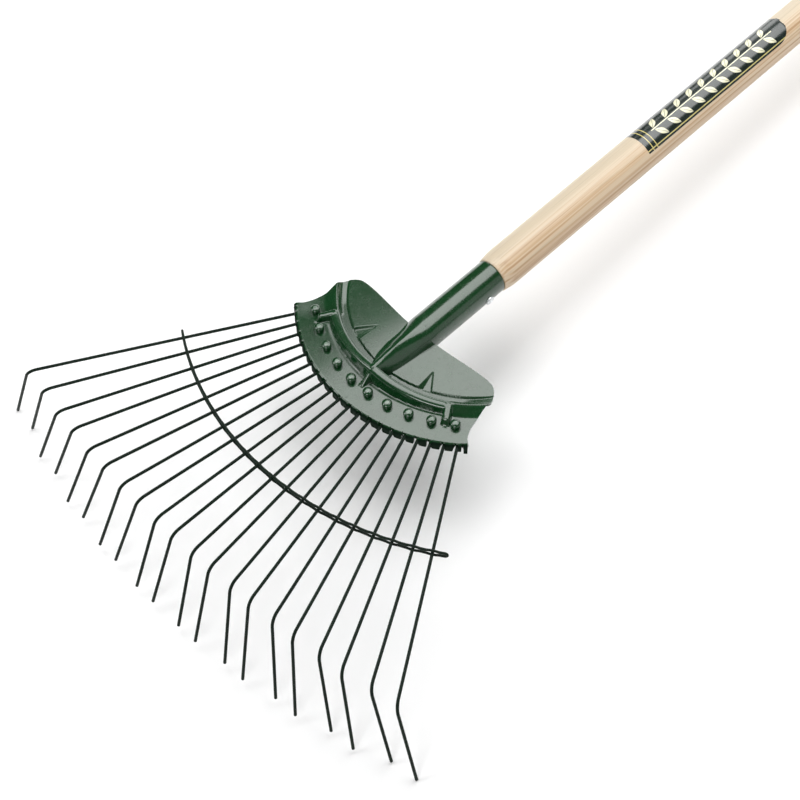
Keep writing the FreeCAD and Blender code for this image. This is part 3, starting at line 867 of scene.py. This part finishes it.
def paint_stub_highlights(rivets):
    """Painted highlight: the faces at the very top of each stub take a lighter paint that stands in for the light
    they catch.
    """
    to_head = TO_ROW.inverted()
    for face in rivets.data.polygons:
        centre = to_head @ face.center
        inward = LIP_RADIUS - math.hypot(centre.x, centre.y)
        if centre.z - inward * math.tan(TINE_SLOPE) - FLANGE_TOP > HIGHLIGHT_FROM:
            face.material_index = 1


def build_rivets():
    """Crowned stubs above the flange and peened tails under the keeper plate."""
    seat = FLANGE_TOP - 0.1
    top = FLANGE_TOP + STUB_HEIGHT
    stub = [(1.2, SHANK_RADIUS), (seat, SHANK_RADIUS), (seat, STUB_RADIUS), (top - 1.52, STUB_RADIUS)]
    stub += [(top - 1.02, 3.3), (top - 0.57, 2.8), (top - 0.22, 2.1), (top - 0.04, 1.3), (top, 0.5)]
    tail = [(1.2, SHANK_RADIUS), (2.4, SHANK_RADIUS), (2.45, 4.0), (3.1, 4.0), (3.6, 3.3), (3.85, 1.6)]
    shank = [(-1.3, SHANK_RADIUS), (1.3, SHANK_RADIUS)]
    parts = []
    for step in STEPS:
        angle = step * RIVET_PITCH
        lean = math.sin(TINE_SLOPE)
        normal = np.array([lean * math.cos(angle), lean * math.sin(angle), math.cos(TINE_SLOPE)])
        parts.append(lathe(stub, 28, rivet_point(step), normal, (1, 0, 0.1)))
        parts.append(lathe(tail, 28, rivet_point(step), -normal, (1, 0, 0.1)))
        parts.append(lathe(shank, 28, rivet_point(step), normal, (1, 0, 0.1)))
    rivets = make_object("rivet_stubs", *merge(parts), GREEN, 40)
    rivets.data.materials.append(RIVET_TOP_HIGHLIGHT)
    paint_stub_highlights(rivets)
    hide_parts("tine_rivets")
    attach(rivets, "rake_body")


def build_tines():
    """One wire hairpin a pair, fixed at its loop."""
    for index, step in enumerate(STEPS, start=1):
        right, left = leg_path(step, -1), leg_path(step, 1)
        path = [*reversed(right), *loop_path(step), *left]
        points, faces = tube(path, WIRE_RADIUS - WIRE_PLAY, 14)
        wire = make_object(f"tine_wire_{index:02d}", points, faces, WIRE, 60)
        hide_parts(f"tine_pair_{index:02d}")
        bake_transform(wire)


def brace_frame():
    """Centre of the brace's circle and the tilt of its plane."""
    tilt = Matrix.Rotation(-BRACE_TILT, 3, "Y")
    front = Vector((BRACE_RADIUS, 0, 0))
    lift = Vector((0, 0, BRACE_FRONT_HEIGHT)) - tilt @ front + front
    return np.array(Vector((BRACE_CENTRE, 0, 0)) + lift), np.array(tilt)


def build_brace():
    """Two thin strands, one over and one under the tines, that close in a loop on the left."""
    centre, tilt = brace_frame()

    def place(angle, height):
        flat = np.array([BRACE_RADIUS * math.cos(angle), BRACE_RADIUS * math.sin(angle), height])
        return centre + tilt @ flat

    crossings = []
    for step in STEPS:
        for side in (-1, 1):
            tangent, bend, _ = leg_points(step, side)
            line = tangent + (bend - tangent) * np.linspace(0, 1, 3000)[:, None]
            away = np.abs(np.hypot(line[:, 0] - BRACE_CENTRE, line[:, 1]) - BRACE_RADIUS)
            point = line[np.argmin(away)]
            crossings.append(math.atan2(point[1], point[0] - BRACE_CENTRE))
    crossings = np.array(sorted(crossings))
    first, last = crossings[0] - 6.0 / BRACE_RADIUS, crossings[-1] + 8.0 / BRACE_RADIUS
    angles = np.linspace(first, last, 220)
    gap = np.min(np.abs(angles[:, None] - crossings[None, :]), axis=1) * BRACE_RADIUS
    pinch = BRACE_GAP - 0.55 * smooth_step(1.5, 4.5, gap)
    meet = smooth_step(0, 5.5, (angles - first) * BRACE_RADIUS)
    pinch = BRACE_WIRE + (pinch - BRACE_WIRE) * meet
    upper = [place(a, h) for a, h in zip(angles, pinch)]
    lower = [place(a, -h) for a, h in zip(angles, pinch)]
    end = place(last, 0)
    along = unit(place(last, 0) - place(last - 0.01, 0))
    up = tilt @ np.array([0, 0, 1.0])
    turns = np.linspace(math.pi / 2, -math.pi / 2, 14)[1:-1]
    radius = pinch[-1]
    loop = [end + radius * (math.cos(t) * along + math.sin(t) * up) for t in turns]
    points, faces = tube([*upper, *loop, *reversed(lower)], BRACE_WIRE, 12)
    brace = make_object("brace_strands", points, faces, WIRE, 60)
    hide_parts("brace_wire")
    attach(brace, "tine_fan")


# ---------------------------------------------------------------- handle, screw and label


def pole_profile():
    """Distance from the mouth and radius of the turned pole."""
    straight = HANDLE_TOTAL - SPIGOT_DEPTH - BUTT_RADIUS
    profile = [(-SPIGOT_DEPTH, SPIGOT_RADIUS), (0.2, SPIGOT_RADIUS), (0.2, SHOULDER_RADIUS - 0.5)]
    profile += [(0.7, SHOULDER_RADIUS - 0.1)]
    for share in np.linspace(0, 1, 8):
        swell = (HANDLE_RADIUS - SHOULDER_RADIUS) * math.sin(share * math.pi / 2)
        profile.append((1.4 + (SHOULDER - 1.4) * share, SHOULDER_RADIUS + swell))
    profile += [(d, HANDLE_RADIUS) for d in np.linspace(SHOULDER + 20, straight, 60)]
    for turn in np.linspace(0, math.pi / 2, 9)[1:]:
        radius = HANDLE_RADIUS - BUTT_RADIUS + BUTT_RADIUS * math.cos(turn)
        profile.append((straight + BUTT_RADIUS * math.sin(turn), radius))
    return profile


def build_handle():
    points, faces = lathe(pole_profile(), 96, MOUTH, SOCKET_AXIS, (0, 0, 1))
    pole = make_object("ash_pole", points, faces, WOOD, 40)
    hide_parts("handle")
    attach(pole, "rake_body")


def build_screw():
    """Pan head with a cross recess, seated just below the left side of the socket."""
    turn = Matrix.Rotation(SCREW_DIP, 3, SOCKET_AXIS)
    outward = turn @ Vector((0, 1, 0))
    seat = MOUTH - SOCKET_AXIS * SCREW_FROM_MOUTH + outward * SOCKET_RADIUS
    rings, sides = 15, 48
    shank = [(-16.0, 0.5), (-13.0, 2.0), (-0.4, 2.0), (-0.4, 3.4), (0.3, SCREW_RADIUS)]
    parts = [lathe(shank, sides, seat, outward, SOCKET_AXIS)]
    across = outward.cross(SOCKET_AXIS)
    points = []
    for ring in range(rings):
        radius = SCREW_RADIUS * (1 - ring / rings)
        for side in range(sides):
            angle = 2 * math.pi * side / sides
            along, beside = radius * math.cos(angle), radius * math.sin(angle)
            height = 0.3 + 1.35 * math.sqrt(1 - (radius / 3.6) ** 2)
            from_arm = min(abs(along + beside), abs(along - beside)) / math.sqrt(2)
            if radius < RECESS_RADIUS and from_arm < RECESS_HALF_WIDTH:
                height -= RECESS_DEPTH
            points.append(np.array(seat + outward * height + SOCKET_AXIS * along + across * beside))
    faces = grid_faces(rings, sides, close_columns=True)
    faces.append(tuple(range((rings - 1) * sides, rings * sides)))
    parts.append((points, faces + [tuple(reversed(range(sides)))]))
    screw = make_object("screw_body", *merge(parts), ZINC, 35)
    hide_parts("socket_screw")
    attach(screw, "rake_body")


def build_label():
    """Film round the pole with a straight lower end and a rounded upper end."""
    across = Vector((0, 1, 0))
    up = across.cross(SOCKET_AXIS)
    points, marks = [], []
    for radius in (HANDLE_RADIUS + LABEL_PROUD, HANDLE_RADIUS + LABEL_PROUD - LABEL_FILM):
        for along in np.linspace(0, LABEL_LENGTH, LABEL_ROWS):
            over = max(0.0, along - (LABEL_LENGTH - LABEL_ROUND)) / LABEL_ROUND
            half = LABEL_HALF_WRAP * (0.12 + 0.88 * math.sqrt(max(0.0, 1 - over**2.4)))
            centre = MOUTH + SOCKET_AXIS * (LABEL_FROM_MOUTH + along)
            for share in np.linspace(-1, 1, LABEL_COLUMNS):
                angle = share * half - LABEL_TURN
                radial = math.cos(angle) * up + math.sin(angle) * across
                points.append(np.array(centre + radius * radial))
                marks.append((along / LABEL_LENGTH, 0.5 + 0.5 * share * half / LABEL_HALF_WRAP))
    count = LABEL_ROWS * LABEL_COLUMNS
    faces = grid_faces(LABEL_ROWS, LABEL_COLUMNS) + grid_faces(LABEL_ROWS, LABEL_COLUMNS, count)
    ring = outline(LABEL_ROWS, LABEL_COLUMNS)
    faces += [(a, a + count, b + count, b) for a, b in zip(ring, ring[1:] + ring[:1])]
    film = make_object("label_film", points, faces, LABEL, 40)
    layer = film.data.uv_layers.new(name="print_place")
    for loop in film.data.loops:
        layer.data[loop.index].uv = marks[loop.vertex_index]
    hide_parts("handle_label")
    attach(film, "rake_body")


def build_keeper():
    """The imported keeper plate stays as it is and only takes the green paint."""
    keeper = frame["nodes"]["keeper_plate"]
    for place in keeper.material_slots:
        place.link = "OBJECT"
        place.material = GREEN


# ---------------------------------------------------------------- camera, light and floor

# angles in radians, distances in the head frame's millimetres, lens in millimetres
CAMERA_AZIMUTH = 0.79422
CAMERA_ELEVATION = 0.95
CAMERA_DISTANCE = 1482.0
CAMERA_RIGHT = 50.0
CAMERA_UP = 67.45
CAMERA_LENS = 97.29


def build_camera():
    """A camera turned round the fan's centre, then moved in its own plane."""
    right = Vector((-math.sin(CAMERA_AZIMUTH), math.cos(CAMERA_AZIMUTH), 0))
    back = Vector(plan_direction(CAMERA_AZIMUTH, -CAMERA_ELEVATION))
    up = back.cross(right)
    eye = back * CAMERA_DISTANCE - right * CAMERA_RIGHT - up * CAMERA_UP
    rotation = TO_ROW.to_3x3() @ Matrix((right, up, back)).transposed()
    data = bpy.data.cameras.new("photo_camera")
    data.lens = CAMERA_LENS
    data.clip_end = 50.0
    camera = bpy.data.objects.new("photo_camera", data)
    camera.matrix_world = Matrix.Translation(TO_ROW @ eye) @ (rotation * (1 / MM)).to_4x4()
    bpy.context.scene.collection.objects.link(camera)
    bpy.context.scene.camera = camera


def area_light(name, place, target, size, power):
    """A white rectangle of light that faces a target."""
    data = bpy.data.lights.new(name, "AREA")
    data.shape = "RECTANGLE"
    data.size, data.size_y = size
    data.energy = power
    lamp = bpy.data.objects.new(name, data)
    lamp.location = place
    lamp.rotation_euler = (Vector(target) - Vector(place)).to_track_quat("-Z", "Y").to_euler()
    bpy.context.scene.collection.objects.link(lamp)


def build_light():
    """Level panels over the head for its flat faces and its crest, two white cards and two fills."""
    world = bpy.data.worlds.new("studio")
    bpy.context.scene.world = world
    world.use_nodes = True
    background = world.node_tree.nodes["Background"]
    background.inputs["Color"].default_value = (1, 1, 1, 1)
    background.inputs["Strength"].default_value = 0.04
    head = Vector((0.55, 0, 0.06))
    panel = head + Vector((-0.88, -0.10, 1.3))
    area_light("soft_panel", panel, panel - Vector((0, 0, 1)), (1.36, 1.38), 23)
    strip = head + Vector((0.1, -0.6, 1.3))
    area_light("crest_panel", strip, strip - Vector((0, 0, 1)), (0.6, 1.0), 8)
    area_light("rear_card", head + Vector((-1.5, -0.6, 0.42)), head, (1.6, 0.7), 9)
    area_light("side_card", head + Vector((-0.2, 1.5, 0.5)), head, (2.4, 0.9), 4)
    area_light("front_fill", head + Vector((1.9, 0.9, 1.5)), head, (1.0, 1.0), 20)
    area_light("front_fill_right", head + Vector((1.4, -1.4, 1.5)), head, (1.0, 1.0), 16)
    bpy.context.scene.view_settings.view_transform = "Standard"


def build_floor():
    """White floor under the tips of the tines."""
    bpy.ops.mesh.primitive_plane_add(size=12, location=(0, 0, 0))
    floor = bpy.context.object
    floor.name = "floor"
    floor.data.materials.append(floor_material())


build_head()
build_keeper()
build_rivets()
build_tines()
build_brace()
build_handle()
build_screw()
build_label()
build_camera()
build_light()
build_floor()
